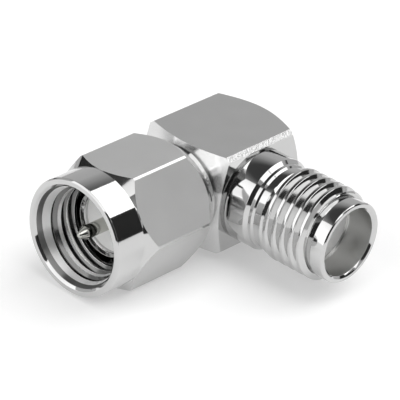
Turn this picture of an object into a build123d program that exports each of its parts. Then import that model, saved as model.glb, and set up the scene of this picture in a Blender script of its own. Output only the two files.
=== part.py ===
from build123d import *
import os
from math import cos, radians, tan

# Right-angle coaxial adapter: a plug on the -Y side and a jack on the +X side.
# Millimetres. The origin is on the plug's axis, just ahead of the insulator inside the outer contact.
# The plug's axis is Y, the jack's axis is parallel to X, and +Z is up.

# Thread of the jack and the nut: 36 turns to the inch, 60 degree flanks, truncated crests
thread_pitch = 25.4 / 36
thread_flank = radians(30)
thread_major_r = 3.175
thread_minor_r = 2.775
thread_land = 0.22
nut_minor_r = 2.86
nut_root_land = 0.09
nut_root_clearance = 0.03

# Coaxial line shared by both ends
dielectric_r = 2.05
dielectric_recess = 0.07
conductor_r = 0.635
pin_r = 0.457
contact_clearance = 0.012

# Plug pin and outer contact, measured along Y from the origin
pin_reach = 2.80
pin_taper_start = 2.24
pin_tip_r = 0.20
pin_tip_bevel = 0.08
nose_wall = 0.24
nose_reach = 0.37
nose_rim = 0.03
nose_step_reach = 0.12
nose_step_width = 0.11
nose_length = 2.05
barrel_r = 2.70
spigot_r = 2.60
bore_web = 0.10

# Coupling nut, measured from its mouth, and turned by hand to where it rests
nut_across_flats = 8.0
nut_turn = 3.4
nut_mouth_y = -3.30
nut_length = 9.13
nut_collar_inset = 0.02
nut_collar_length = 2.30
nut_collar_edge = 0.10
nut_hex_start = 2.37
nut_front_slope = 0.944
nut_rear_start = 8.38
nut_rear_slope = 0.785
nut_corner_bevel = 0.10
mouth_entry_r = 3.42
mouth_bevel = 0.16
mouth_r = 3.284
mouth_depth = 0.53
lead_in_length = 1.32
nut_thread_turns = 3
nut_thread_end = 3.23
nut_cavity_r = 3.25
nut_cavity_length = 2.67
nut_bore_clearance = 0.10
nut_end_play = 0.11

# Snap ring, in a groove of the barrel and a groove of the nut
ring_y = 4.20
ring_thickness = 0.45
ring_seat = 0.35
ring_width = 0.65
ring_split = 0.80
ring_clearance = 0.05
nut_groove_clearance = 0.12

# Elbow block
block_width = 7.0
block_height = 7.1
block_front = 6.34
block_length = 7.88
block_boss_r = 3.20
block_front_slope = 2.358
block_rear_flat_r = 3.30
block_rear_slope = 1.452
block_bevel_flat = 0.33
block_bevel_side = 0.26
jack_offset = 3.61

# Rear cap
cap_r = 2.60
cap_thickness = 0.90
cap_edge = 0.10

# Jack, measured along X from the block's face
jack_spigot_length = 1.20
neck_r = 3.175
neck_base_edge = 0.20
neck_length = 1.78
collar_r = 2.95
collar_length = 0.24
relief_r = 2.83
relief_length = 0.52
thread_turns = 6
undercut_r = 2.60
undercut_length = 0.26
lip_wall = 0.47
lip_length = 0.99
lip_edge = 0.09
jack_depth = 2.06
jack_mouth_edge = 0.16
mating_clearance = 0.02

# Socket contact, and the soldered joint of its tail in the pin's cross hole
socket_bore_depth = 2.60
socket_slot_width = 0.14
socket_slot_depth = 1.80
tail_r = 0.35
tail_clearance = 0.015
tail_overhang = 0.35
pin_overhang = 0.35
solder_r = 0.58
solder_length = 0.30

# Reach of a cutting shape past the surface it cuts
overcut = 1.0

# Worked out from the sizes above
nut_flat_r = nut_across_flats / 2
nut_corner_r = nut_flat_r / cos(radians(30))
nut_rear_y = nut_mouth_y + nut_length
nut_root_r = thread_major_r + nut_root_clearance
nose_r = dielectric_r + nose_wall
nut_bore_r = barrel_r + nut_bore_clearance
ring_inner_r = barrel_r - ring_seat
ring_outer_r = ring_inner_r + ring_width
ring_gap_half = ring_thickness / 2 + ring_clearance
block_face_x = block_width / 2
block_rear = block_front + block_length
boss_front = nut_rear_y + nut_end_play
jack_axis_y = block_front + jack_offset
line_end = jack_axis_y - spigot_r - bore_web
jack_spigot_start = block_face_x - jack_spigot_length
relief_start = block_face_x + neck_length + (neck_r - collar_r) + collar_length + (collar_r - relief_r)
thread_start = relief_start + relief_length
thread_rise = (thread_major_r - thread_minor_r) * tan(thread_flank)
first_crest = thread_start + thread_rise + thread_land / 2
thread_end = first_crest + (thread_turns - 1) * thread_pitch + thread_land / 2
lip_start = thread_end + undercut_length
jack_end = lip_start + lip_length
jack_reference_x = jack_end - jack_depth
jack_bore_r = nose_r + mating_clearance
lip_r = jack_bore_r + lip_wall
dielectric_face_x = jack_reference_x - dielectric_recess
socket_bore_r = pin_r + contact_clearance
socket_shoulder_x = conductor_r + solder_length


def along_plug(points):
    """Turned solid about the plug's axis, from (distance along Y, radius) points."""
    outline = Polyline([(r, y) for y, r in points], close=True)
    return revolve(make_face(outline), Axis.Y)


def along_jack(points):
    """Turned solid about the jack's axis, from (distance along X, radius) points."""
    outline = Polyline([(x, r) for x, r in points], close=True)
    return Pos(0, jack_axis_y, 0) * revolve(make_face(outline), Axis.X)


def bar_along_y(section, start, length):
    """Straight bar of a section drawn about the plug's axis."""
    plane = Plane(origin=(0, start, 0), x_dir=(1, 0, 0), z_dir=(0, 1, 0))
    return extrude(plane * section, amount=length)


def ridges(first_middle, turns, base_r, tip_r, land):
    """Outline points of ridges at the thread's pitch: base, flank, tip land, flank, base."""
    rise = abs(tip_r - base_r) * tan(thread_flank)
    points = []
    for turn in range(turns):
        middle = first_middle + turn * thread_pitch
        points += [
            (middle - land / 2 - rise, base_r),
            (middle - land / 2, tip_r),
            (middle + land / 2, tip_r),
            (middle + land / 2 + rise, base_r),
        ]
    return points


def block_section():
    """The block's square section with its four long edges bevelled."""
    half_width = block_width / 2
    half_height = block_height / 2
    corner = [
        (half_width - block_bevel_flat, half_height),
        (half_width, half_height - block_bevel_side),
    ]
    right = corner + [(x, -z) for x, z in reversed(corner)]
    left = [(-x, z) for x, z in reversed(right)]
    return make_face(Polyline(right + left, close=True))


def body_block():
    """Square elbow block with turned ends and a round boss, bored for both connectors and the cap."""
    bar = bar_along_y(block_section(), block_front, block_length)
    reach = block_width
    turned = along_plug([
        (block_front, 0),
        (block_front, block_boss_r),
        (block_front + (reach - block_boss_r) / block_front_slope, reach),
        (block_rear - (reach - block_rear_flat_r) / block_rear_slope, reach),
        (block_rear, block_rear_flat_r),
        (block_rear, 0),
    ])
    boss = along_plug([
        (boss_front, 0),
        (boss_front, block_boss_r),
        (block_front + overcut, block_boss_r),
        (block_front + overcut, 0),
    ])
    plug_bore = along_plug([
        (boss_front - overcut, 0),
        (boss_front - overcut, spigot_r),
        (line_end, spigot_r),
        (line_end, dielectric_r),
        (block_rear - cap_thickness, dielectric_r),
        (block_rear - cap_thickness, cap_r),
        (block_rear + overcut, cap_r),
        (block_rear + overcut, 0),
    ])
    jack_bore = along_jack([
        (0, 0),
        (0, dielectric_r),
        (jack_spigot_start, dielectric_r),
        (jack_spigot_start, spigot_r),
        (block_face_x + overcut, spigot_r),
        (block_face_x + overcut, 0),
    ])
    return (bar & turned) + boss - plug_bore - jack_bore


def rear_cap():
    """Disc pressed into the back of the block."""
    inner = block_rear - cap_thickness
    return along_plug([
        (inner, 0),
        (inner, cap_r),
        (block_rear - cap_edge, cap_r),
        (block_rear, cap_r - cap_edge),
        (block_rear, 0),
    ])


def plug_barrel():
    """Outer contact of the plug: thin nose, body with the ring's groove, and pressed-in spigot."""
    groove_r = ring_inner_r - ring_clearance
    return along_plug([
        (-nose_step_reach, dielectric_r),
        (-nose_step_reach, dielectric_r + nose_step_width),
        (-nose_reach, nose_r - nose_rim),
        (-nose_reach, nose_r),
        (nose_length, nose_r),
        (nose_length, barrel_r),
        (ring_y - ring_gap_half, barrel_r),
        (ring_y - ring_gap_half, groove_r),
        (ring_y + ring_gap_half, groove_r),
        (ring_y + ring_gap_half, barrel_r),
        (boss_front, barrel_r),
        (boss_front, spigot_r),
        (line_end, spigot_r),
        (line_end, dielectric_r),
    ])


def snap_ring():
    """Split flat ring that holds the nut on the barrel."""
    ring = along_plug([
        (ring_y - ring_thickness / 2, ring_inner_r),
        (ring_y - ring_thickness / 2, ring_outer_r),
        (ring_y + ring_thickness / 2, ring_outer_r),
        (ring_y + ring_thickness / 2, ring_inner_r),
    ])
    split = Pos(0, ring_y, -ring_outer_r) * Box(ring_split, 2 * ring_thickness, 2 * ring_outer_r)
    return ring - split


def nut_blank():
    """Outside of the nut: a hexagon bar turned to cones at both ends, with a round collar in front."""
    corner_run = nut_corner_r - nut_flat_r
    hexagon = RegularPolygon(radius=nut_flat_r, side_count=6, major_radius=False)
    hexagon = chamfer(hexagon.vertices(), nut_corner_bevel)
    bar = bar_along_y(hexagon, nut_mouth_y, nut_length)
    front = nut_mouth_y + nut_hex_start
    rear = nut_mouth_y + nut_rear_start
    collar_r = nut_flat_r - nut_collar_inset
    turned = along_plug([
        (nut_mouth_y, 0),
        (nut_mouth_y, collar_r - nut_collar_edge),
        (nut_mouth_y + nut_collar_edge, collar_r),
        (nut_mouth_y + nut_collar_length, collar_r),
        (front, nut_flat_r),
        (front + corner_run / nut_front_slope, nut_corner_r),
        (rear - corner_run / nut_rear_slope, nut_corner_r),
        (nut_rear_y, nut_flat_r - (nut_rear_y - rear) * nut_rear_slope),
        (nut_rear_y, 0),
    ])
    return bar & turned


def nut_cavity():
    """Inside of the nut: threaded part, relief behind the thread, bore on the barrel and ring groove."""
    cavity_start = nut_mouth_y + nut_thread_end
    cavity_end = cavity_start + nut_cavity_length
    crest = thread_pitch - nut_root_land - 2 * (nut_root_r - nut_minor_r) * tan(thread_flank)
    last_root = cavity_start - crest - (thread_pitch - crest) / 2
    first_root = last_root - (nut_thread_turns - 1) * thread_pitch
    groove_r = ring_outer_r + nut_groove_clearance
    groove_half = ring_gap_half + ring_clearance
    outline = [(nut_mouth_y - overcut, 0), (nut_mouth_y - overcut, nut_minor_r)]
    outline += ridges(first_root, nut_thread_turns, nut_minor_r, nut_root_r, nut_root_land)
    outline += [
        (cavity_start, nut_minor_r),
        (cavity_start, nut_cavity_r),
        (cavity_end, nut_cavity_r),
        (cavity_end, nut_bore_r),
        (ring_y - groove_half, nut_bore_r),
        (ring_y - groove_half, groove_r),
        (ring_y + groove_half, groove_r),
        (ring_y + groove_half, nut_bore_r),
        (nut_rear_y + overcut, nut_bore_r),
        (nut_rear_y + overcut, 0),
    ]
    return along_plug(outline)


def nut_mouth():
    """Slightly tapered mouth of the nut, its bevelled edge, and the cone that leads in to the thread."""
    return along_plug([
        (nut_mouth_y - overcut, 0),
        (nut_mouth_y - overcut, mouth_entry_r + mouth_bevel),
        (nut_mouth_y, mouth_entry_r + mouth_bevel),
        (nut_mouth_y + mouth_bevel, mouth_entry_r),
        (nut_mouth_y + mouth_depth, mouth_r),
        (nut_mouth_y + mouth_depth + lead_in_length, nut_minor_r),
        (nut_mouth_y + mouth_depth + lead_in_length, 0),
    ])


def coupling_nut():
    """Hexagonal coupling nut, free to turn on the barrel."""
    nut = nut_blank() - nut_cavity() - nut_mouth()
    return Rot(0, -nut_turn, 0) * nut


def plug_dielectric():
    """Insulator of the plug, bored for the pin."""
    return along_plug([
        (dielectric_recess, conductor_r),
        (dielectric_recess, dielectric_r),
        (line_end, dielectric_r),
        (line_end, conductor_r),
    ])


def plug_pin():
    """Centre pin: tapered tip, thin front, thicker line through the insulator, cross hole at the back."""
    pin_end = jack_axis_y + tail_r + pin_overhang
    pin = along_plug([
        (-pin_reach, 0),
        (-pin_reach, pin_tip_r - pin_tip_bevel),
        (-pin_reach + pin_tip_bevel, pin_tip_r),
        (-pin_taper_start, pin_r),
        (dielectric_recess, pin_r),
        (dielectric_recess, conductor_r),
        (pin_end, conductor_r),
        (pin_end, 0),
    ])
    return pin - along_jack([
        (-conductor_r - overcut, 0),
        (-conductor_r - overcut, tail_r + tail_clearance),
        (conductor_r + overcut, tail_r + tail_clearance),
        (conductor_r + overcut, 0),
    ])


def jack_shell():
    """Outer contact of the jack: spigot, neck, collar, relief, thread, undercut and lip."""
    neck_end = block_face_x + neck_length
    collar_start = neck_end + (neck_r - collar_r)
    outline = [
        (jack_spigot_start, dielectric_r),
        (jack_spigot_start, spigot_r),
        (block_face_x, spigot_r),
        (block_face_x, neck_r - neck_base_edge),
        (block_face_x + neck_base_edge, neck_r),
        (neck_end, neck_r),
        (collar_start, collar_r),
        (collar_start + collar_length, collar_r),
        (relief_start, relief_r),
        (thread_start, relief_r),
    ]
    outline += ridges(first_crest, thread_turns, thread_minor_r, thread_major_r, thread_land)[:-1]
    outline += [
        (thread_end, undercut_r),
        (lip_start, undercut_r),
        (lip_start, lip_r),
        (jack_end - lip_edge, lip_r),
        (jack_end, lip_r - lip_edge),
        (jack_end, jack_bore_r + jack_mouth_edge),
        (jack_end - jack_mouth_edge, jack_bore_r),
        (jack_reference_x, jack_bore_r),
        (jack_reference_x, dielectric_r),
    ]
    return along_jack(outline)


def jack_dielectric():
    """Insulator of the jack, bored for the socket contact."""
    return along_jack([
        (jack_spigot_start, conductor_r),
        (jack_spigot_start, dielectric_r),
        (dielectric_face_x, dielectric_r),
        (dielectric_face_x, conductor_r),
    ])


def jack_socket():
    """Slotted socket contact, with the tail that crosses the pin."""
    contact = along_jack([
        (-conductor_r - tail_overhang, 0),
        (-conductor_r - tail_overhang, tail_r),
        (socket_shoulder_x, tail_r),
        (socket_shoulder_x, conductor_r),
        (jack_reference_x, conductor_r),
        (jack_reference_x, socket_bore_r),
        (jack_reference_x - socket_bore_depth, socket_bore_r),
        (jack_reference_x - socket_bore_depth, 0),
    ])
    slot = Box(2 * socket_slot_depth, 3 * conductor_r, socket_slot_width)
    for angle in (45, 135):
        contact -= Pos(jack_reference_x, jack_axis_y, 0) * Rot(angle, 0, 0) * slot
    return contact


def solder_joint():
    """Solder between the pin and the shoulder of the socket, around the tail."""
    bead = along_jack([
        (0, tail_r),
        (0, solder_r),
        (socket_shoulder_x, solder_r),
        (socket_shoulder_x, tail_r),
    ])
    pin_body = Pos(0, jack_axis_y, 0) * Rot(90, 0, 0) * Cylinder(conductor_r, 4 * solder_r)
    return bead - pin_body


sub_parts = {
    "body_block": body_block(),
    "rear_cap": rear_cap(),
    "plug_barrel": plug_barrel(),
    "snap_ring": snap_ring(),
    "coupling_nut": coupling_nut(),
    "plug_dielectric": plug_dielectric(),
    "plug_pin": plug_pin(),
    "jack_shell": jack_shell(),
    "jack_dielectric": jack_dielectric(),
    "jack_socket": jack_socket(),
    "solder_joint": solder_joint(),
}

os.makedirs("parts", exist_ok=True)
for name, solid in sub_parts.items():
    export_step(solid, f"parts/{name}.step")
    print(name, round(solid.volume, 3), "mm3")
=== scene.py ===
import math

import bmesh
import bpy
from mathutils import Matrix, Vector


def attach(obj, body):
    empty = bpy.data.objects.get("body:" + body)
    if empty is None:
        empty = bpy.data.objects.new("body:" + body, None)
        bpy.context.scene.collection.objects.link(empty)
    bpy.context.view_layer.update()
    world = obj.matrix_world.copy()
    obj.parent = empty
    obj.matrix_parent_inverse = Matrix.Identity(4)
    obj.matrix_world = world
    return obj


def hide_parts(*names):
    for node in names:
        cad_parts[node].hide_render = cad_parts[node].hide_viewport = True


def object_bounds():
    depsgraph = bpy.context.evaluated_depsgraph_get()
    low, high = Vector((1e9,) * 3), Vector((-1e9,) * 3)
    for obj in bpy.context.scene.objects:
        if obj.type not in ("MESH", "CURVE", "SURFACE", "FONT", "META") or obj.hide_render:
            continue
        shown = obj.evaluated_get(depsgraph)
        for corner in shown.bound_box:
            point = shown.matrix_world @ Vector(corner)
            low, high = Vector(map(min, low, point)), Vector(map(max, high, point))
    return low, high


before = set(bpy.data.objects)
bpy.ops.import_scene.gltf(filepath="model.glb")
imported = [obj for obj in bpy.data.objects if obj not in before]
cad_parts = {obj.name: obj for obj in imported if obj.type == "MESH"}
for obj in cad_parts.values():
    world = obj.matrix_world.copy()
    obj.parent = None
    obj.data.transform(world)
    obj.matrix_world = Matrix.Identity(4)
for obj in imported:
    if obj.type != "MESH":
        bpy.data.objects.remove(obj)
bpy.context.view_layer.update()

# Sizes of the part, in millimetres. MM turns them into metres

MM = 0.001

# Thread: 36 turns to the inch, right-hand, 60 degree flanks
PITCH = 25.4 / 36
FLANK = math.tan(math.radians(30))
MAJOR_R = 3.175
MINOR_R = 2.775
LAND = 0.22
JACK_CRESTS = 6
THREAD_EASE = 0.05
NUT_MINOR_R = 2.86
NUT_ROOT_R = 3.205
NUT_ROOT_LAND = 0.09
NUT_THREAD_EASE = 0.03

# Plug
LINE_R = 2.05
LINE_END = 7.25
NOSE_FRONT = -0.37
NOSE_STEP = -0.12
NOSE_STEP_WIDTH = 0.11
NOSE_RIM = 0.03
NOSE_R = 2.29
NOSE_LENGTH = 2.05
BARREL_R = 2.70
BARREL_GROOVE = (3.925, 4.475)
BARREL_GROOVE_R = 2.30
BARREL_EASE = 0.03
SPIGOT_R = 2.60

# Coupling nut
NUT_TURN = math.radians(3.4)
NUT_FLAT = 4.0
NUT_MOUTH = -3.30
NUT_REAR = 5.83
NUT_HEX_FRONT = -0.93
NUT_HEX_REAR = 5.08
NUT_FRONT_SLOPE = 0.944
NUT_REAR_SLOPE = 0.785
NUT_REAR_R = NUT_FLAT - (NUT_REAR - NUT_HEX_REAR) * NUT_REAR_SLOPE
NUT_BEVEL = 0.10
NUT_COLLAR_R = NUT_FLAT - 0.02
NUT_COLLAR_BEVEL = 0.10
NUT_COLLAR_END = -1.0
NUT_THREAD_END = -0.07
NUT_LAST_ROOT = NUT_THREAD_END - 0.11
NUT_CAVITY_R = 3.25
NUT_CAVITY_END = 2.60
NUT_BORE_R = 2.80
NUT_GROOVE = (3.875, 4.525)
NUT_GROOVE_R = 3.12
NUT_FRONT_EASE = 0.04
NUT_REAR_EASE = 0.03
MOUTH_ENTRY_R = 3.42
MOUTH_BEVEL = 0.16
MOUTH_R = 3.284
LEAD_IN = (-2.77, -1.45)
NUT_THREAD_RIMS = ((LEAD_IN[0], MOUTH_R), (NUT_THREAD_END, NUT_CAVITY_R))

# Block
BLOCK_X = 3.5
BLOCK_Z = 3.55
BLOCK_FRONT = 6.34
BLOCK_REAR = 14.22
BEVEL_FLAT = 0.33
BEVEL_SIDE = 0.26
BOSS_R = 3.20
BOSS_FRONT = 5.94
BOSS_EDGE = 0.04
REAR_FLAT_R = 3.30
FRONT_SLOPE = 2.358
REAR_SLOPE = 1.452
CAP_R = 2.60
CAP_THICKNESS = 0.90

# Jack, along X
JACK_Y = 9.95
JACK_SPIGOT = 2.30
NECK_R = 3.175
NECK_BEVEL = 0.20
NECK_END = 5.28
RELIEF = (5.505, 5.745)
RELIEF_R = 2.95
RUNOUT_START = 5.865
RUNOUT_R = 2.83
THREAD_START = 6.385
THREAD_END = THREAD_START + (MAJOR_R - MINOR_R) * FLANK + (JACK_CRESTS - 1) * PITCH + LAND
THREAD_END_R = 2.95
UNDERCUT_LENGTH = 0.26
UNDERCUT_R = 2.60
LIP_START = THREAD_END + UNDERCUT_LENGTH
LIP_LENGTH = 0.99
LIP_R = 2.78
LIP_BEVEL = 0.09
JACK_END = LIP_START + LIP_LENGTH
JACK_DEPTH = 2.06
JACK_BORE_R = 2.31
JACK_BORE_BEVEL = 0.16
JACK_REFERENCE = JACK_END - JACK_DEPTH
JACK_EASE = 0.04

# Steps once round a turned piece, and round the block
SEGMENTS = 288
BLOCK_SEGMENTS = 180

# Lengths shorter than this count as nothing
TINY = 1e-9

# How far a face may lie from where it is looked for
NEAR = 0.01
FLAT_NEAR = 0.003

# A face leans towards an axis when its unit normal has more than this along it
LEAN = 0.3
BEVEL_LEAN = 0.5

# And it is square to that axis when its unit normal has more than this
SQUARE = 0.9


# Points and outlines

def even_angles(count):
    """Angles once round, in radians."""
    return [2 * math.pi * i / count for i in range(count)]


def plug_point(along, radius, angle):
    """A point at this distance along the plug's axis, angle from +X towards +Z."""
    return Vector((radius * math.cos(angle), along, radius * math.sin(angle))) * MM


def jack_point(along, radius, angle):
    """A point at this distance along X, about the jack's axis, angle from +Y towards +Z."""
    return Vector((along, JACK_Y + radius * math.cos(angle), radius * math.sin(angle))) * MM


def eased(outline, size, closed=True):
    """Outline of (along, radius) points with its corners rounded to about this size."""
    least_turn = math.radians(12)
    most_turn = 2.4
    most_cut = 0.4
    result = []
    count = len(outline)
    for i, point in enumerate(outline):
        if not closed and i in (0, count - 1):
            result.append(point)
            continue
        before = Vector(outline[i - 1]) - Vector(point)
        after = Vector(outline[(i + 1) % count]) - Vector(point)
        if before.length < TINY or after.length < TINY:
            result.append(point)
            continue
        turn = math.pi - before.angle(after)
        if turn < least_turn:
            result.append(point)
            continue
        reach = size * math.tan(min(turn, most_turn) / 2)
        cut = min(reach, most_cut * before.length, most_cut * after.length)
        start = Vector(point) + before.normalized() * cut
        end = Vector(point) + after.normalized() * cut
        for step in (0.0, 0.25, 0.5, 0.75, 1.0):
            back = 1 - step
            mixed = start * back**2 + Vector(point) * 2 * step * back + end * step**2
            result.append((mixed.x, mixed.y))
    return result


def polygon_radius(angle, sides):
    """Distance from the axis to the edge of a polygon given as (distance, direction angle) sides."""
    best = 1e9
    for distance, direction in sides:
        facing_it = math.cos(angle - direction)
        if facing_it > 1e-6:
            best = min(best, distance / facing_it)
    return best


def polygon_angles(corners, count):
    """Even angles, those nearest to the polygon's corners replaced by the corner angles."""
    angles = even_angles(count)
    room = 0.45 * 2 * math.pi / count
    for corner in corners:
        corner %= 2 * math.pi
        angles = [angle for angle in angles if abs(angle - corner) > room]
        angles.append(corner)
    return sorted(angles)


# Meshes and objects

def ring_strip(bm, rings, place, angles, closed):
    """Skin of quads through rings. A ring is (along, radius), or a function of the angle giving both."""
    rows = []
    for ring in rings:
        at = ring if callable(ring) else (lambda angle, fixed=ring: fixed)
        rows.append([bm.verts.new(place(*at(angle), angle)) for angle in angles])
    pairs = list(zip(rows, rows[1:]))
    if closed:
        pairs.append((rows[-1], rows[0]))
    count = len(angles)
    for first, second in pairs:
        for i in range(count):
            j = (i + 1) % count
            quad = [first[i], first[j], second[j], second[i]]
            if len({tuple(round(c, 10) for c in vertex.co) for vertex in quad}) >= 3:
                bm.faces.new(quad)


def new_object(name, bm, body, node, material, crease):
    """Object from a bmesh, welded, facing out, with edges over the crease angle sharp."""
    bmesh.ops.remove_doubles(bm, verts=bm.verts, dist=2e-8)
    bmesh.ops.recalc_face_normals(bm, faces=bm.faces)
    limit = math.radians(crease)
    for face in bm.faces:
        face.smooth = True
    for edge in bm.edges:
        edge.smooth = len(edge.link_faces) == 2 and edge.calc_face_angle(0.0) < limit
    mesh = bpy.data.meshes.new(name)
    bm.to_mesh(mesh)
    bm.free()
    mesh.materials.append(material)
    piece = bpy.data.objects.new(name, mesh)
    bpy.context.scene.collection.objects.link(piece)
    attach(piece, body)
    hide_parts(node)
    return piece


def weighted(piece):
    """Large faces keep their own shading beside narrow edge bands."""
    modifier = piece.modifiers.new("weighted", "WEIGHTED_NORMAL")
    modifier.keep_sharp = True
    modifier.weight = 90
    return piece


# Choice of faces. A test takes a face's middle, in millimetres, and its normal

def assign(piece, material, wanted):
    """Give this material to the faces that pass the test."""
    mesh = piece.data
    mesh.materials.append(material)
    for face in mesh.polygons:
        if wanted(face.center / MM, face.normal):
            face.material_index = len(mesh.materials) - 1


def on_flat(distance):
    """Test for flat faces along the plug's axis that lie this far from it."""

    def test(middle, normal):
        return abs(normal.y) < NEAR and abs(normal.dot(middle) - distance) < FLAT_NEAR

    return test


def on_nut_cone(middle, normal):
    """Test for the cone behind the nut's hexagon."""
    return middle.y > NUT_CAVITY_END and LEAN < normal.y < SQUARE


def in_nut_mouth(middle, normal):
    """Test for the wall of the nut's mouth, in front of its thread."""
    return middle.y < LEAD_IN[0] and math.hypot(middle.x, middle.z) < MOUTH_ENTRY_R


def in_nut_thread(reach_at):
    """Test for faces of the nut's thread that lie closer to the axis than reach_at their place."""

    def test(middle, normal):
        inside = LEAD_IN[0] < middle.y < NUT_THREAD_END + NEAR
        return inside and math.hypot(middle.x, middle.z) < reach_at(middle.y)

    return test


def on_long_bevel(middle, normal):
    """Test for the slanting faces along the block, and round faces that are turned the same way."""
    return abs(normal.y) < NEAR and min(abs(normal.x), abs(normal.z)) > BEVEL_LEAN


def on_block_cone(middle, normal):
    """Test for the turned faces that slant to the block's two ends."""
    return abs(normal.y) > LEAN and math.hypot(normal.x, normal.z) > LEAN


def in_jack_bore(middle, normal):
    """Test for the inner wall of the jack and the step at its bottom."""
    radius = math.hypot(middle.y - JACK_Y, middle.z)
    return middle.x > JACK_REFERENCE - NEAR and radius < JACK_BORE_R + NEAR


# Threads

def thread_profile(base_r, tip_r, land, ease):
    """One pitch of the thread: (fraction of the pitch, radius), its tip at 0.5, with eased corners."""
    rise = abs(tip_r - base_r) * FLANK
    half = land / 2
    middle = PITCH / 2
    corners = [
        (0.0, base_r),
        (middle - half - rise, base_r),
        (middle - half, tip_r),
        (middle + half, tip_r),
        (middle + half + rise, base_r),
        (PITCH, base_r),
    ]
    points = eased(corners, ease, closed=False)
    return [(along / PITCH, radius) for along, radius in points]


def profile_radius(profile, fraction):
    """Radius of the thread profile at this fraction of a pitch."""
    fraction %= 1.0
    for (a, r), (b, s) in zip(profile, profile[1:]):
        if a <= fraction <= b:
            return r if b - a < TINY else r + (s - r) * (fraction - a) / (b - a)
    return profile[-1][1]


def helix(bm, place, profile, start, end, phase, hand, limit, edge_radii):
    """Thread surface from start to end, and the walls that reach the edge radii at both ends.

    A tip of the profile lies at phase + PITCH * k at angle 0, and moves by hand * PITCH in each
    turn. The limit function cuts the radius at each place along the axis.
    """
    rows_per_pitch = len(profile) - 1
    angles = even_angles(SEGMENTS)

    # The rows begin before the thread and end after it, also where a turn has moved them
    pitches = int((end - start) / PITCH) + 4
    before = start - 1.5 * PITCH
    first = phase - PITCH / 2 + PITCH * math.floor((before - phase) / PITCH)
    if hand < 0:
        first += PITCH

    def at(row, i):
        turn, step = divmod(row, rows_per_pitch)
        shift = hand * i / SEGMENTS
        along = first + PITCH * (turn + profile[step][0] + shift)
        radius = profile[step][1]
        if along < start or along > end:
            along = min(max(along, start), end)
            radius = profile_radius(profile, (along - first) / PITCH - shift)
        return along, limit(along, radius)

    rows = []
    for row in range(rows_per_pitch * pitches + 1):
        rows.append([bm.verts.new(place(*at(row, i), angles[i])) for i in range(SEGMENTS)])
    for row in range(len(rows) - 1):
        for i in range(SEGMENTS):
            j = (i + 1) % SEGMENTS
            step = rows_per_pitch * hand if j == 0 else 0
            if 0 <= row + step < len(rows) - 1:
                near, far = rows[row], rows[row + 1]
                next_near, next_far = rows[row + step], rows[row + 1 + step]
                bm.faces.new([near[i], next_near[j], next_far[j], far[i]])

    def thread_edge(along):
        """Ring where the thread is cut off at this place along the axis."""

        def ring(angle):
            fraction = (along - first) / PITCH - hand * angle / (2 * math.pi)
            return along, limit(along, profile_radius(profile, fraction))

        return ring

    for along, edge_r in zip((start, end), edge_radii):
        ring_strip(bm, [(along, edge_r), thread_edge(along)], place, angles, False)


# Materials

WEAR = 0.04
LATHE_SPREAD = 0.9


def node_material(name):
    """Empty node material with its shader."""
    material = bpy.data.materials.new(name)
    material.use_nodes = True
    tree = material.node_tree
    shader = tree.nodes["Principled BSDF"]
    return material, tree, shader


def noise(tree, coordinates, scale, detail):
    """Noise at these coordinates, as a number."""
    texture = tree.nodes.new("ShaderNodeTexNoise")
    texture.inputs["Scale"].default_value = scale
    texture.inputs["Detail"].default_value = detail
    tree.links.new(coordinates, texture.inputs["Vector"])
    return texture.outputs["Fac"]


def between(tree, number, low, high):
    """The number's 0 to 1 spread over low to high."""
    spread = tree.nodes.new("ShaderNodeMapRange")
    spread.inputs["To Min"].default_value = low
    spread.inputs["To Max"].default_value = high
    tree.links.new(number, spread.inputs["Value"])
    return spread.outputs["Result"]


def add_bump(tree, shader, height, strength, distance):
    """Let this height tilt the shader's normal."""
    bump = tree.nodes.new("ShaderNodeBump")
    bump.inputs["Strength"].default_value = strength
    bump.inputs["Distance"].default_value = distance
    tree.links.new(height, bump.inputs["Height"])
    tree.links.new(bump.outputs["Normal"], shader.inputs["Normal"])


def metal(name, colour, roughness, grain=0.25, depth=0.5e-6, scale=9000.0, stretch=(1, 1, 1)):
    """Plated metal: machining grain in its bump, uneven polish, small changes of tone."""
    material, tree, shader = node_material(name)
    nodes, links = tree.nodes, tree.links
    shader.inputs["Metallic"].default_value = 1.0
    place = nodes.new("ShaderNodeTexCoord").outputs["Object"]
    mapping = nodes.new("ShaderNodeMapping")
    mapping.inputs["Scale"].default_value = stretch
    links.new(place, mapping.inputs["Vector"])
    fine = noise(tree, mapping.outputs["Vector"], scale, detail=3.0)
    broad = noise(tree, place, scale=600.0, detail=4.0)
    tint = nodes.new("ShaderNodeMix")
    tint.data_type = "RGBA"
    tint.blend_type = "MULTIPLY"
    tint.inputs["Factor"].default_value = 1.0
    tint.inputs["A"].default_value = (*colour, 1.0)
    links.new(between(tree, broad, 1.0 - WEAR, 1.0 + WEAR), tint.inputs["B"])
    links.new(tint.outputs["Result"], shader.inputs["Base Color"])
    polish = between(tree, broad, roughness * (1.0 - 2 * WEAR), roughness * (1.0 + 2 * WEAR))
    links.new(polish, shader.inputs["Roughness"])
    add_bump(tree, shader, fine, grain, depth)
    return material


def lathe_marked(material):
    """Turning marks about the plug's axis: reflections spread along the axis, not round it."""
    tree = material.node_tree
    shader = tree.nodes["Principled BSDF"]
    tangent = tree.nodes.new("ShaderNodeTangent")
    tangent.direction_type = "RADIAL"
    tangent.axis = "Y"
    tree.links.new(tangent.outputs["Tangent"], shader.inputs["Tangent"])
    shader.inputs["Anisotropic"].default_value = LATHE_SPREAD
    shader.inputs["Anisotropic Rotation"].default_value = 0.25
    return material


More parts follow.
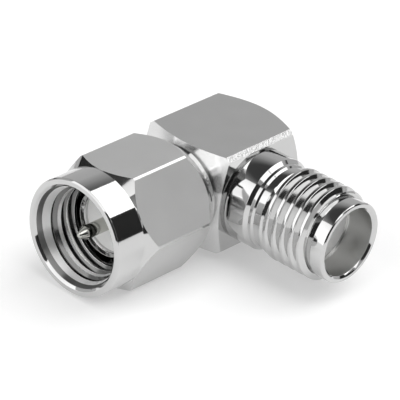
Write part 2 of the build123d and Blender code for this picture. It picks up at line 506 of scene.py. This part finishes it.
def insulator(name, colour):
    """White fluoropolymer: matt, slightly waxy, with a faint mottle."""
    material, tree, shader = node_material(name)
    nodes, links = tree.nodes, tree.links
    shader.inputs["Roughness"].default_value = 0.45
    place = nodes.new("ShaderNodeTexCoord").outputs["Object"]
    mottle = noise(tree, place, scale=2500.0, detail=4.0)
    ramp = nodes.new("ShaderNodeValToRGB")
    ramp.color_ramp.elements[0].color = (*[c * 0.94 for c in colour], 1.0)
    ramp.color_ramp.elements[1].color = (*colour, 1.0)
    links.new(mottle, ramp.inputs["Fac"])
    links.new(ramp.outputs["Color"], shader.inputs["Base Color"])
    add_bump(tree, shader, mottle, strength=0.3, distance=3e-6)
    return material


NICKEL = (0.58, 0.58, 0.578)
nickel_block = metal("nickel_block", NICKEL, 0.07)
nickel_nut = metal("nickel_nut", NICKEL, 0.06)
nickel_turned = metal("nickel_turned", NICKEL, 0.08)
nickel_satin = metal("nickel_satin", (0.60, 0.60, 0.598), 0.36)
nickel_flat = metal("nickel_flat", (0.61, 0.61, 0.608), 0.60)
# Painted shade: the flanks of the nut's thread are far darker than the nickel, for the shade inside the
# nut.
nickel_thread_painted_shade = metal("nickel_thread_painted_shade", (0.17, 0.17, 0.168), 0.16)
# Painted highlight: the crests of the nut's thread are far lighter than the nickel.
nickel_crest_painted_light = metal("nickel_crest_painted_light", (0.90, 0.90, 0.898), 0.20)
# Painted light: the lead-in cone in the nut is far lighter than the nickel; its turning marks are real.
nickel_mouth_painted_light = lathe_marked(metal("nickel_mouth_painted_light", (0.95, 0.95, 0.948), 0.50))
# Painted shade: the wall of the nut's mouth is far darker than the nickel; its turning marks are real.
nickel_entry_painted_shade = lathe_marked(metal("nickel_entry_painted_shade", (0.26, 0.26, 0.258), 0.30))
# Partly painted light: the turned cones of the nut and block are lighter than the nickel, for the light
# they catch; their turning marks are real.
nickel_cone_painted_light = lathe_marked(metal("nickel_cone_painted_light", (0.70, 0.70, 0.698), 0.17))
nickel_milled = metal(
    "nickel_milled",
    (0.54, 0.54, 0.538),
    0.12,
    grain=1.0,
    depth=4.5e-5,
    scale=7000.0,
    stretch=(1.0, 1.3, 0.8),
)
nickel_bore = metal("nickel_bore", (0.62, 0.62, 0.61), 0.30)
contact_metal = metal("contact_metal", (0.50, 0.50, 0.47), 0.09)
spring_steel = metal("spring_steel", (0.5, 0.5, 0.5), 0.2)
solder_metal = metal("solder_metal", (0.6, 0.6, 0.6), 0.3)
ptfe = insulator("ptfe", (0.92, 0.92, 0.91))


# Coupling nut

def nut_polygon():
    """Sides of the bevelled hexagon as (distance, direction angle), and its corner angles."""
    sixth = math.radians(60)
    bevel_distance = NUT_FLAT / math.cos(sixth / 2) - NUT_BEVEL * math.cos(sixth)
    offset = math.tan(sixth / 2) * NUT_FLAT - NUT_BEVEL
    half = sixth / 2 - math.atan2(offset, NUT_FLAT)
    sides = []
    corners = []
    for k in range(6):
        corner = NUT_TURN + sixth * k
        sides += [(NUT_FLAT, corner + sixth / 2), (bevel_distance, corner)]
        corners += [corner - half, corner + half]
    return sides, corners


def nut_shell_point(along, radius, angle):
    """Where the shell meets the thread, its corners move to the thread's own angles."""
    if (along, radius) in NUT_THREAD_RIMS:
        step = 2 * math.pi / SEGMENTS
        angle = step * round(angle / step)
    return plug_point(along, radius, angle)


def nut_front_outline():
    """From the front of the thread, round the mouth, to the front of the hexagon."""
    outline = [
        NUT_THREAD_RIMS[0],
        (NUT_MOUTH + MOUTH_BEVEL, MOUTH_ENTRY_R),
        (NUT_MOUTH, MOUTH_ENTRY_R + MOUTH_BEVEL),
        (NUT_MOUTH, NUT_COLLAR_R - NUT_COLLAR_BEVEL),
        (NUT_MOUTH + NUT_COLLAR_BEVEL, NUT_COLLAR_R),
        (NUT_COLLAR_END, NUT_COLLAR_R),
        (NUT_HEX_FRONT, NUT_FLAT),
    ]
    return eased(outline, NUT_FRONT_EASE, closed=False)


def nut_rear_outline():
    """From the rear of the hexagon, through the bore with its groove, to the end of the thread."""
    outline = [
        (NUT_HEX_REAR, NUT_FLAT),
        (NUT_REAR, NUT_REAR_R),
        (NUT_REAR, NUT_BORE_R),
        (NUT_GROOVE[1], NUT_BORE_R),
        (NUT_GROOVE[1], NUT_GROOVE_R),
        (NUT_GROOVE[0], NUT_GROOVE_R),
        (NUT_GROOVE[0], NUT_BORE_R),
        (NUT_CAVITY_END, NUT_BORE_R),
        (NUT_CAVITY_END, NUT_CAVITY_R),
        NUT_THREAD_RIMS[1],
    ]
    return eased(outline, NUT_REAR_EASE, closed=False)


def lead_in_radius(along):
    """Radius of the cone that cuts the nut's first crests away."""
    front, back = LEAD_IN
    return NUT_MINOR_R + (back - along) * (MOUTH_R - NUT_MINOR_R) / (back - front)


def make_nut():
    """Coupling nut: hexagon turned to cones, round collar, right-hand internal thread."""
    sides, corners = nut_polygon()

    def front_corner(angle):
        reach = polygon_radius(angle, sides)
        return NUT_HEX_FRONT + (reach - NUT_FLAT) / NUT_FRONT_SLOPE, reach

    def rear_corner(angle):
        reach = polygon_radius(angle, sides)
        return NUT_HEX_REAR - (reach - NUT_FLAT) / NUT_REAR_SLOPE, reach

    def cut(along, radius):
        return max(radius, lead_in_radius(along))

    bm = bmesh.new()
    rings = nut_front_outline()[:-1] + [front_corner, rear_corner] + nut_rear_outline()[1:]
    ring_strip(bm, rings, nut_shell_point, polygon_angles(corners, SEGMENTS), False)
    profile = thread_profile(NUT_MINOR_R, NUT_ROOT_R, NUT_ROOT_LAND, NUT_THREAD_EASE)
    edge_radii = (MOUTH_R, NUT_CAVITY_R)
    helix(bm, plug_point, profile, LEAD_IN[0], NUT_THREAD_END, NUT_LAST_ROOT, -1, cut, edge_radii)
    nut = weighted(new_object("coupling_nut_threaded", bm, "nut", "coupling_nut", nickel_nut, 18))
    assign(nut, nickel_flat, on_flat(NUT_FLAT))
    # Painted shade on the wall of the nut's mouth.
    assign(nut, nickel_entry_painted_shade, in_nut_mouth)
    # Painted light on the cone behind the nut's hexagon.
    assign(nut, nickel_cone_painted_light, on_nut_cone)
    # Painted shade on the flanks of the nut's thread.
    assign(nut, nickel_thread_painted_shade, in_nut_thread(lambda along: MOUTH_R + NEAR))
    # Painted highlight on the crests of the nut's thread.
    assign(nut, nickel_crest_painted_light, in_nut_thread(lambda along: NUT_MINOR_R + NUT_THREAD_EASE))
    # Painted light on the lead-in cone of the nut.
    assign(nut, nickel_mouth_painted_light, in_nut_thread(lambda along: lead_in_radius(along) + NEAR))


# Elbow block

def block_polygon():
    """Sides of the bevelled square as (distance, direction angle), and its corner angles."""
    sides = [(BLOCK_X, 0), (BLOCK_X, math.pi), (BLOCK_Z, math.pi / 2), (BLOCK_Z, -math.pi / 2)]
    slant = math.atan2(BEVEL_FLAT, BEVEL_SIDE)
    corners = []
    for x_way in (1, -1):
        for z_way in (1, -1):
            direction = math.atan2(z_way * math.sin(slant), x_way * math.cos(slant))
            top = ((BLOCK_X - BEVEL_FLAT) * x_way, BLOCK_Z * z_way)
            side = (BLOCK_X * x_way, (BLOCK_Z - BEVEL_SIDE) * z_way)
            sides.append((top[0] * math.cos(direction) + top[1] * math.sin(direction), direction))
            corners += [math.atan2(top[1], top[0]), math.atan2(side[1], side[0])]
    return sides, corners


def make_block():
    """Elbow block: bevelled square bar with turned ends, open at both ends of its bore."""
    sides, corners = block_polygon()

    def front_corner(angle):
        reach = polygon_radius(angle, sides)
        return BLOCK_FRONT + (reach - BOSS_R) / FRONT_SLOPE, reach

    def rear_corner(angle):
        reach = polygon_radius(angle, sides)
        return BLOCK_REAR - (reach - REAR_FLAT_R) / REAR_SLOPE, reach

    rings = [
        (LINE_END, SPIGOT_R),
        (BOSS_FRONT, SPIGOT_R),
        (BOSS_FRONT, BOSS_R - BOSS_EDGE),
        (BOSS_FRONT + BOSS_EDGE, BOSS_R),
        (BLOCK_FRONT, BOSS_R),
        front_corner,
        rear_corner,
        (BLOCK_REAR, REAR_FLAT_R),
        (BLOCK_REAR, CAP_R),
        (BLOCK_REAR - CAP_THICKNESS, CAP_R),
        (BLOCK_REAR - CAP_THICKNESS, LINE_R),
        (LINE_END, LINE_R),
    ]
    bm = bmesh.new()
    ring_strip(bm, rings, plug_point, polygon_angles(corners, BLOCK_SEGMENTS), True)
    block = new_object("elbow_block", bm, "adapter", "body_block", nickel_block, 12)
    assign(block, nickel_satin, on_flat(BLOCK_Z))
    assign(block, nickel_milled, on_long_bevel)
    # Painted light on the block's turned cones.
    assign(block, nickel_cone_painted_light, on_block_cone)


# Jack shell

def jack_outline():
    """From the end of the thread, round the lip, through the bore, to the start of the thread."""
    outline = [
        (THREAD_END, UNDERCUT_R),
        (LIP_START, UNDERCUT_R),
        (LIP_START, LIP_R),
        (JACK_END - LIP_BEVEL, LIP_R),
        (JACK_END, LIP_R - LIP_BEVEL),
        (JACK_END, JACK_BORE_R + JACK_BORE_BEVEL),
        (JACK_END - JACK_BORE_BEVEL, JACK_BORE_R),
        (JACK_REFERENCE, JACK_BORE_R),
        (JACK_REFERENCE, LINE_R),
        (JACK_SPIGOT, LINE_R),
        (JACK_SPIGOT, SPIGOT_R),
        (BLOCK_X, SPIGOT_R),
        (BLOCK_X, NECK_R - NECK_BEVEL),
        (BLOCK_X + NECK_BEVEL, NECK_R),
        (NECK_END, NECK_R),
        (RELIEF[0], RELIEF_R),
        (RELIEF[1], RELIEF_R),
        (RUNOUT_START, RUNOUT_R),
        (THREAD_START, RUNOUT_R),
    ]
    return eased(outline, JACK_EASE, closed=False)


def make_jack_shell():
    """Outer contact of the jack with its right-hand thread."""

    def cut(along, radius):
        lead = min(along - THREAD_START + RUNOUT_R, THREAD_END - along + THREAD_END_R)
        return max(min(radius, lead), MINOR_R)

    bm = bmesh.new()
    ring_strip(bm, jack_outline(), jack_point, even_angles(SEGMENTS), False)
    profile = thread_profile(MINOR_R, MAJOR_R, LAND, THREAD_EASE)
    last_crest = THREAD_END - LAND / 2
    edge_radii = (RUNOUT_R, UNDERCUT_R)
    helix(bm, jack_point, profile, THREAD_START, THREAD_END, last_crest, 1, cut, edge_radii)
    shell = weighted(new_object("jack_shell_threaded", bm, "adapter", "jack_shell", nickel_turned, 40))
    assign(shell, nickel_bore, in_jack_bore)


# Plug barrel

def make_barrel():
    """Outer contact of the plug, a stepped tube with the snap ring's groove."""
    outline = [
        (NOSE_STEP, LINE_R),
        (NOSE_STEP, LINE_R + NOSE_STEP_WIDTH),
        (NOSE_FRONT, NOSE_R - NOSE_RIM),
        (NOSE_FRONT, NOSE_R),
        (NOSE_LENGTH, NOSE_R),
        (NOSE_LENGTH, BARREL_R),
        (BARREL_GROOVE[0], BARREL_R),
        (BARREL_GROOVE[0], BARREL_GROOVE_R),
        (BARREL_GROOVE[1], BARREL_GROOVE_R),
        (BARREL_GROOVE[1], BARREL_R),
        (BOSS_FRONT, BARREL_R),
        (BOSS_FRONT, SPIGOT_R),
        (LINE_END, SPIGOT_R),
        (LINE_END, LINE_R),
    ]
    bm = bmesh.new()
    ring_strip(bm, eased(outline, BARREL_EASE), plug_point, even_angles(SEGMENTS), True)
    barrel = weighted(new_object("outer_contact", bm, "adapter", "plug_barrel", nickel_turned, 50))


# Solids that are kept from the source

def dress_solids():
    """Materials for the pieces that scene.py takes over as they are."""
    materials = {
        "plug_dielectric": ptfe,
        "jack_dielectric": ptfe,
        "plug_pin": contact_metal,
        "jack_socket": contact_metal,
        "rear_cap": nickel_turned,
        "snap_ring": spring_steel,
        "solder_joint": solder_metal,
    }
    for node, material in materials.items():
        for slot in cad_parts[node].material_slots:
            slot.material = material


make_nut()
make_block()
make_jack_shell()
make_barrel()
dress_solids()


# Camera, fitted to the photograph's 400 by 400 pixels

AZIMUTH = math.radians(40.136)
ELEVATION = math.radians(29.550)
ROLL = math.radians(-5.471)
FOCAL_PIXELS = 3027.8
IMAGE_SIDE = 400
MOUTH_PIXEL = (72.93, 238.42)
MOUTH_DISTANCE = 0.1895
SENSOR = 36.0


def make_camera():
    """Camera that puts the middle of the nut's mouth at its pixel, at its distance."""
    right = Vector((math.cos(AZIMUTH), math.sin(AZIMUTH), 0))
    forward = Vector((
        -math.sin(AZIMUTH) * math.cos(ELEVATION),
        math.cos(AZIMUTH) * math.cos(ELEVATION),
        -math.sin(ELEVATION),
    ))
    down = forward.cross(right)
    cos_roll, sin_roll = math.cos(ROLL), math.sin(ROLL)
    right, down = right * cos_roll + down * sin_roll, down * cos_roll - right * sin_roll
    middle = IMAGE_SIDE / 2
    seen = (
        right * (MOUTH_PIXEL[0] - middle) / FOCAL_PIXELS
        + down * (MOUTH_PIXEL[1] - middle) / FOCAL_PIXELS
        + forward
    )
    mouth = Vector((0, NUT_MOUTH * MM, 0))
    data = bpy.data.cameras.new("camera")
    data.sensor_width = SENSOR
    data.lens = FOCAL_PIXELS / IMAGE_SIDE * SENSOR
    data.clip_start = 0.01
    data.clip_end = 10.0
    camera = bpy.data.objects.new("camera", data)
    turn = Matrix((right, -down, -forward)).transposed().to_4x4()
    camera.matrix_world = Matrix.Translation(mouth - seen * MOUTH_DISTANCE) @ turn
    bpy.context.scene.collection.objects.link(camera)
    bpy.context.scene.camera = camera


make_camera()


# Studio, in metres: floor, world, lamps and dark cards

# Lamps and cards face this point, from about this far away
MIDDLE = Vector((0, 5 * MM, 0))
STUDIO = 0.5

FLOOR_REACH = 3.0
FLOOR_GAP = 2e-5
FLOOR_LIFT = 0.29

X_AXIS = Vector((1, 0, 0))
Y_AXIS = Vector((0, 1, 0))
Z_AXIS = Vector((0, 0, 1))


def rectangle(name, width, height, level=0.0):
    """Mesh of one upward face about the origin, at this level."""
    bm = bmesh.new()
    corners = [(-1, -1), (1, -1), (1, 1), (-1, 1)]
    bm.faces.new([bm.verts.new((x * width / 2, y * height / 2, level)) for x, y in corners])
    mesh = bpy.data.meshes.new(name)
    bm.to_mesh(mesh)
    bm.free()
    return mesh


def either(tree, first, second):
    """The larger of two numbers."""
    larger = tree.nodes.new("ShaderNodeMath")
    larger.operation = "MAXIMUM"
    tree.links.new(first, larger.inputs[0])
    tree.links.new(second, larger.inputs[1])
    return larger.outputs["Value"]


def floor_paper():
    """White paper that also glows for the camera and for reflections, so that it looks white."""
    material, tree, shader = node_material("floor_paper")
    shader.inputs["Base Color"].default_value = (0.80, 0.80, 0.80, 1.0)
    shader.inputs["Roughness"].default_value = 0.9
    rays = tree.nodes.new("ShaderNodeLightPath").outputs
    mirrored = either(tree, rays["Is Glossy Ray"], rays["Is Transmission Ray"])
    seen = either(tree, rays["Is Camera Ray"], mirrored)
    shader.inputs["Emission Color"].default_value = (1.0, 1.0, 1.0, 1.0)
    tree.links.new(between(tree, seen, 0.0, FLOOR_LIFT), shader.inputs["Emission Strength"])
    return material


def make_floor():
    """Plain floor under the lowest point, which takes the object's shadow."""
    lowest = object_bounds()[0].z
    mesh = rectangle("floor", 2 * FLOOR_REACH, 2 * FLOOR_REACH, lowest - FLOOR_GAP)
    mesh.materials.append(floor_paper())
    floor = bpy.data.objects.new("floor", mesh)
    bpy.context.scene.collection.objects.link(floor)


def make_world():
    """Grey at the horizon, dark overhead."""
    world = bpy.data.worlds.new("studio")
    bpy.context.scene.world = world
    world.use_nodes = True
    tree = world.node_tree
    nodes, links = tree.nodes, tree.links
    place = nodes.new("ShaderNodeTexCoord")
    split = nodes.new("ShaderNodeSeparateXYZ")
    links.new(place.outputs["Generated"], split.inputs["Vector"])
    ramp = nodes.new("ShaderNodeValToRGB")
    stops = ((0.0, 0.60), (0.50, 0.58), (0.66, 0.38), (0.80, 0.07), (1.0, 0.05))
    elements = ramp.color_ramp.elements
    while len(elements) < len(stops):
        elements.new(0.5)
    for element, (height, grey) in zip(elements, stops):
        element.position = height
        element.color = (grey, grey, grey, 1.0)
    links.new(split.outputs["Z"], ramp.inputs["Fac"])
    links.new(ramp.outputs["Color"], nodes["Background"].inputs["Color"])


def facing(name, data, away, edge):
    """Panel at this offset from the object, facing it, one side along the given edge direction."""
    panel = bpy.data.objects.new(name, data)
    back = away.normalized()
    side = edge.cross(back).normalized()
    turn = Matrix((side, back.cross(side), back)).transposed().to_4x4()
    panel.matrix_world = Matrix.Translation(MIDDLE + away) @ turn
    bpy.context.scene.collection.objects.link(panel)
    return panel


def softbox(name, away, edge, width, height, radiance):
    """Rectangular lamp of even brightness."""
    data = bpy.data.lights.new(name, "AREA")
    data.shape = "RECTANGLE"
    data.size = width
    data.size_y = height
    data.energy = radiance * math.pi * width * height
    facing(name, data, away, edge)


def dark_card(name, away, edge, width, height):
    """Black card, unseen by the camera itself."""
    material, tree, shader = node_material(name)
    shader.inputs["Base Color"].default_value = (0.02, 0.02, 0.02, 1.0)
    shader.inputs["Roughness"].default_value = 0.8
    mesh = rectangle(name, width, height)
    mesh.materials.append(material)
    card = facing(name, mesh, away, edge)
    card.visible_camera = False


def above_y(angle):
    """Offset on the studio's sphere, square to Y, this many degrees up from +X."""
    turn = math.radians(angle)
    return Vector((math.cos(turn), 0, math.sin(turn))) * STUDIO


def above_x(angle):
    """Offset on the studio's sphere, square to X, this many degrees up from +Y."""
    turn = math.radians(angle)
    return Vector((0, math.cos(turn), math.sin(turn))) * STUDIO


def compass(azimuth, elevation):
    """Offset on the studio's sphere, azimuth from +Y towards +X."""
    turn, rise = math.radians(azimuth), math.radians(elevation)
    flat = math.cos(rise) * STUDIO
    return Vector((math.sin(turn) * flat, math.cos(turn) * flat, math.sin(rise) * STUDIO))


def make_lamps():
    """Three softboxes, worked out from the photo's bright reflections."""
    top = above_y(76) + Y_AXIS * 0.12
    front = above_x(152.5) - X_AXIS * 0.11
    softbox("top_softbox", top, Y_AXIS, width=0.51, height=0.71, radiance=2.1)
    softbox("front_softbox", front, X_AXIS, width=0.51, height=0.72, radiance=1.2)
    softbox("side_softbox", compass(88, 46), Z_AXIS, width=0.18, height=0.14, radiance=1.5)


def make_dark_cards():
    """Three black cards, worked out from the photo's dark reflections."""
    right = above_y(23.5) + Y_AXIS * 0.425
    dark_card("right_card", right, Y_AXIS, width=0.435, height=0.55)
    dark_card("front_card", compass(132, 18), Z_AXIS, width=0.55, height=0.36)
    dark_card("left_card", compass(-90, 25), Z_AXIS, width=0.17, height=0.30)


make_floor()
make_world()
make_lamps()
make_dark_cards()
bpy.context.scene.view_settings.view_transform = "Standard"
